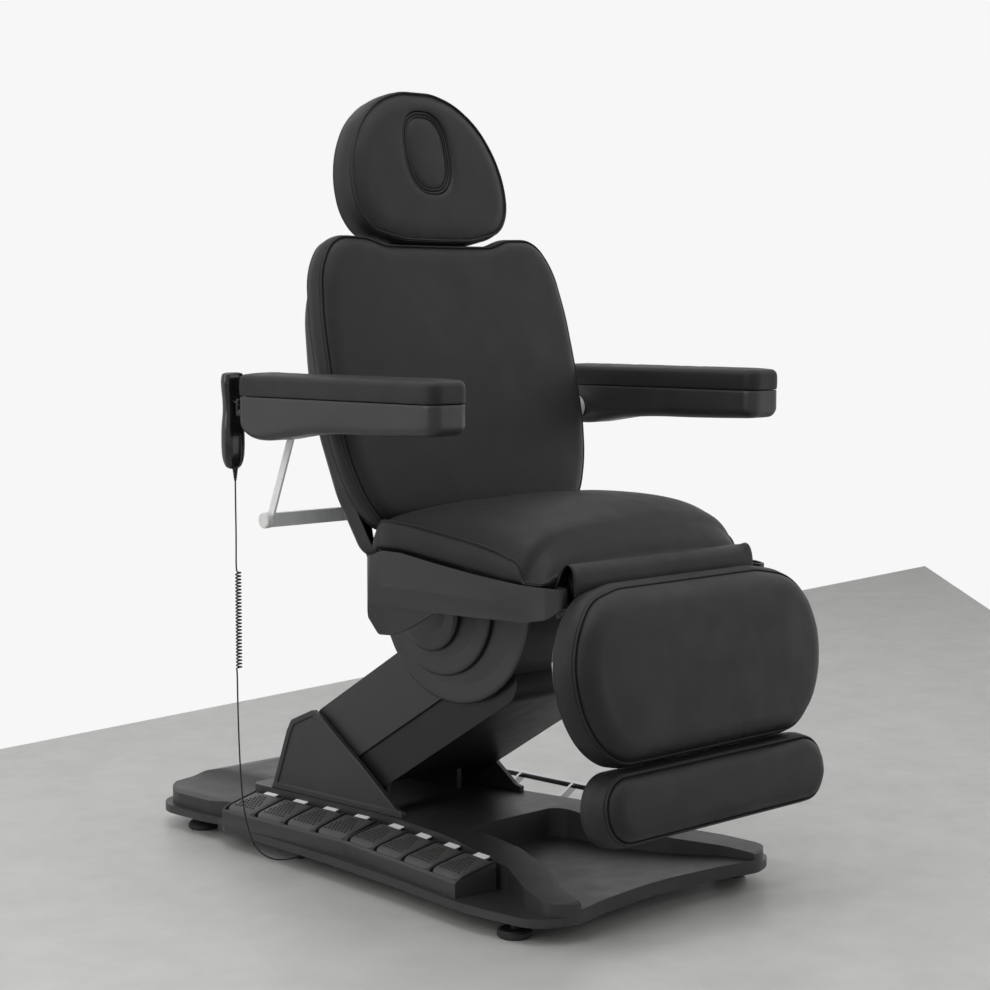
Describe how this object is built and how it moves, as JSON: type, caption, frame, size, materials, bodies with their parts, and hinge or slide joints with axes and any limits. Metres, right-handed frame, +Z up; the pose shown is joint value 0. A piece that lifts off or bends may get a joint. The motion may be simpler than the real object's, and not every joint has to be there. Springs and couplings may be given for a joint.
{
  "type": "tattoo chair",
  "caption": "Upholstered tattoo chair on a moulded base with a parallelogram lift, reclining back, level armrests, headrest with a face plug, raising legrest and a corded handset.",
  "frame": {"origin": "on the floor under the middle of the chair", "axes": "+Z up, the sitter faces -Y, -X is the side with the foot controls and the handset"},
  "size_m": [0.9005, 1.3162, 1.4372],
  "materials": {
    "cover_plastic": "matt charcoal moulding",
    "pedal_plastic": "ribbed warm dark grey",
    "link_cover": "satin charcoal",
    "leatherette": "fine-grained satin near-black",
    "frame_steel": "black powder coat",
    "silver": "satin silver",
    "chrome": "polished",
    "white_cap": "white gloss",
    "board": "plywood",
    "foot_rubber": "matt black",
    "cord_rubber": "satin black",
    "handset_plastic": "matt dark grey",
    "keypad": "soft grey membrane"
  },
  "bodies": {
    "base": {"base_shell": "cover_plastic", "base_frame": "frame_steel", "levelling_feet": "foot_rubber", "control_box": "cover_plastic", "cord_gland": "cord_rubber", "lift_housing": "cover_plastic", "pedal_bank_rear": "cover_plastic", "pedal_bank_front": "cover_plastic", "foot_bar_bracket": "frame_steel", "cord_base_run": "cord_rubber"},
    "lower_arm": {"lower_link": "frame_steel", "lower_cover": "link_cover"},
    "upper_arm": {"upper_link": "frame_steel", "upper_cover": "link_cover"},
    "carriage": {"carriage": "frame_steel", "fan_lower": "cover_plastic"},
    "fan": {"fan_middle": "cover_plastic"},
    "seat": {"seat_frame": "frame_steel", "seat_shell": "cover_plastic", "seat_board": "board", "seat_cushion": "leatherette", "seat_flap": "leatherette", "fan_upper": "cover_plastic"},
    "legrest": {"leg_frame": "frame_steel", "leg_shell": "cover_plastic", "leg_cushion": "leatherette"},
    "footrest": {"foot_frame": "frame_steel", "foot_cushion": "leatherette"},
    "backrest": {"back_frame": "frame_steel", "back_board": "board", "back_shell": "cover_plastic", "back_cushion": "leatherette", "arm_shaft": "silver"},
    "armrests": {"arm_frame": "silver", "arm_bar_caps": "white_cap", "armrest_shell_right": "cover_plastic", "armrest_shell_left": "cover_plastic", "armrest_cushion_right": "leatherette", "armrest_cushion_left": "leatherette"},
    "level_link": {"level_link": "silver"},
    "head_post": {"head_posts": "chrome"},
    "headrest": {"head_board": "board", "head_cushion": "leatherette"},
    "face_plug": {"face_plug": "leatherette"},
    "handset": {"handset_case": "handset_plastic", "handset_keypad": "keypad", "handset_relief": "cord_rubber", "cord_top_run": "cord_rubber", "cord_curl": "cord_rubber", "cord_low_run": "cord_rubber"},
    "foot_bar": {"foot_bar": "chrome"},
    "pedal_1": {"pedal_1": "pedal_plastic"},
    "pedal_2": {"pedal_2": "pedal_plastic"},
    "pedal_3": {"pedal_3": "pedal_plastic"},
    "pedal_4": {"pedal_4": "pedal_plastic"},
    "pedal_5": {"pedal_5": "pedal_plastic"},
    "pedal_6": {"pedal_6": "pedal_plastic"},
    "pedal_7": {"pedal_7": "pedal_plastic"},
    "pedal_8": {"pedal_8": "pedal_plastic"}
  },
  "joints": [
    {"name": "lift", "type": "hinge", "parent": "base", "child": "lower_arm", "pos_m": [0, 0.11, 0.167], "axis": [-1, 0, 0], "range_deg": [-7, 34.5]},
    {"name": "lift_upper", "type": "hinge", "parent": "base", "child": "upper_arm", "pos_m": [0, 0.183, 0.24], "axis": [-1, 0, 0], "range_deg": [-7, 34.5]},
    {"name": "lift_head", "type": "hinge", "parent": "lower_arm", "child": "carriage", "pos_m": [0, -0.25664, 0.39167], "axis": [-1, 0, 0], "range_deg": [-34.5, 7]},
    {"name": "tilt", "type": "hinge", "parent": "carriage", "child": "seat", "pos_m": [0, -0.16, 0.528], "axis": [-1, 0, 0], "range_deg": [0, 12]},
    {"name": "fan_follow", "type": "hinge", "parent": "carriage", "child": "fan", "pos_m": [0, -0.16, 0.528], "axis": [-1, 0, 0], "range_deg": [0, 6]},
    {"name": "recline", "type": "hinge", "parent": "seat", "child": "backrest", "pos_m": [0, 0, 0.6], "axis": [-1, 0, 0], "range_deg": [0, 75]},
    {"name": "arm_level", "type": "hinge", "parent": "backrest", "child": "armrests", "pos_m": [0, 0.025, 0.842], "axis": [-1, 0, 0], "range_deg": [-75, 0]},
    {"name": "level_link_turn", "type": "hinge", "parent": "seat", "child": "level_link", "pos_m": [0.185, 0.073, 0.42], "axis": [-1, 0, 0], "range_deg": [0, 75]},
    {"name": "headrest_height", "type": "slide", "parent": "backrest", "child": "head_post", "axis": [0, 0.2317, 0.9728], "range_m": [0, 0.08]},
    {"name": "headrest_tilt", "type": "hinge", "parent": "head_post", "child": "headrest", "pos_m": [0, 0.1115, 1.20903], "axis": [-1, 0, 0], "range_deg": [0, 28]},
    {"name": "face_plug_out", "type": "slide", "parent": "headrest", "child": "face_plug", "axis": [0, -0.9728, 0.2317], "range_m": [0, 0.07]},
    {"name": "leg_raise", "type": "hinge", "parent": "seat", "child": "legrest", "pos_m": [0, -0.512, 0.594], "axis": [-1, 0, 0], "range_deg": [0, 82]},
    {"name": "footrest_out", "type": "slide", "parent": "legrest", "child": "footrest", "axis": [0, -0.1392, -0.9903], "range_m": [0, 0.095]},
    {"name": "handset_off", "type": "slide", "parent": "armrests", "child": "handset", "axis": [0, 0, 1], "range_m": [0, 0.03]},
    {"name": "pedal_1_press", "type": "hinge", "parent": "base", "child": "pedal_1", "pos_m": [-0.181, 0.33775, 0.09034], "axis": [0, -1, 0], "range_deg": [0, 3], "stiffness_Nm_per_rad": 12, "springref_deg": -1.72},
    {"name": "pedal_2_press", "type": "hinge", "parent": "base", "child": "pedal_2", "pos_m": [-0.181, 0.24925, 0.09034], "axis": [0, -1, 0], "range_deg": [0, 3], "stiffness_Nm_per_rad": 12, "springref_deg": -1.72},
    {"name": "pedal_3_press", "type": "hinge", "parent": "base", "child": "pedal_3", "pos_m": [-0.181, 0.16075, 0.09034], "axis": [0, -1, 0], "range_deg": [0, 3], "stiffness_Nm_per_rad": 12, "springref_deg": -1.72},
    {"name": "pedal_4_press", "type": "hinge", "parent": "base", "child": "pedal_4", "pos_m": [-0.181, 0.07225, 0.09034], "axis": [0, -1, 0], "range_deg": [0, 3], "stiffness_Nm_per_rad": 12, "springref_deg": -1.72},
    {"name": "pedal_5_press", "type": "hinge", "parent": "base", "child": "pedal_5", "pos_m": [-0.1888, -0.02681, 0.09034], "axis": [-0.1564, -0.9877, 0], "range_deg": [0, 3], "stiffness_Nm_per_rad": 12, "springref_deg": -1.72},
    {"name": "pedal_6_press", "type": "hinge", "parent": "base", "child": "pedal_6", "pos_m": [-0.20264, -0.11422, 0.09034], "axis": [-0.1564, -0.9877, 0], "range_deg": [0, 3], "stiffness_Nm_per_rad": 12, "springref_deg": -1.72},
    {"name": "pedal_7_press", "type": "hinge", "parent": "base", "child": "pedal_7", "pos_m": [-0.21649, -0.20163, 0.09034], "axis": [-0.1564, -0.9877, 0], "range_deg": [0, 3], "stiffness_Nm_per_rad": 12, "springref_deg": -1.72},
    {"name": "pedal_8_press", "type": "hinge", "parent": "base", "child": "pedal_8", "pos_m": [-0.23033, -0.28904, 0.09034], "axis": [-0.1564, -0.9877, 0], "range_deg": [0, 3], "stiffness_Nm_per_rad": 12, "springref_deg": -1.72},
    {"name": "foot_bar_press", "type": "hinge", "parent": "base", "child": "foot_bar", "pos_m": [0.19, 0, 0.076], "axis": [0, 1, 0], "range_deg": [0, 5], "stiffness_Nm_per_rad": 30, "springref_deg": -2.86}
  ],
  "couplings": [
    {"joint": "lift_upper", "follows": "lift", "ratio": 1},
    {"joint": "lift_head", "follows": "lift", "ratio": -1},
    {"joint": "fan_follow", "follows": "tilt", "ratio": 0.5},
    {"joint": "arm_level", "follows": "recline", "ratio": -1},
    {"joint": "level_link_turn", "follows": "recline", "ratio": 1}
  ]
}
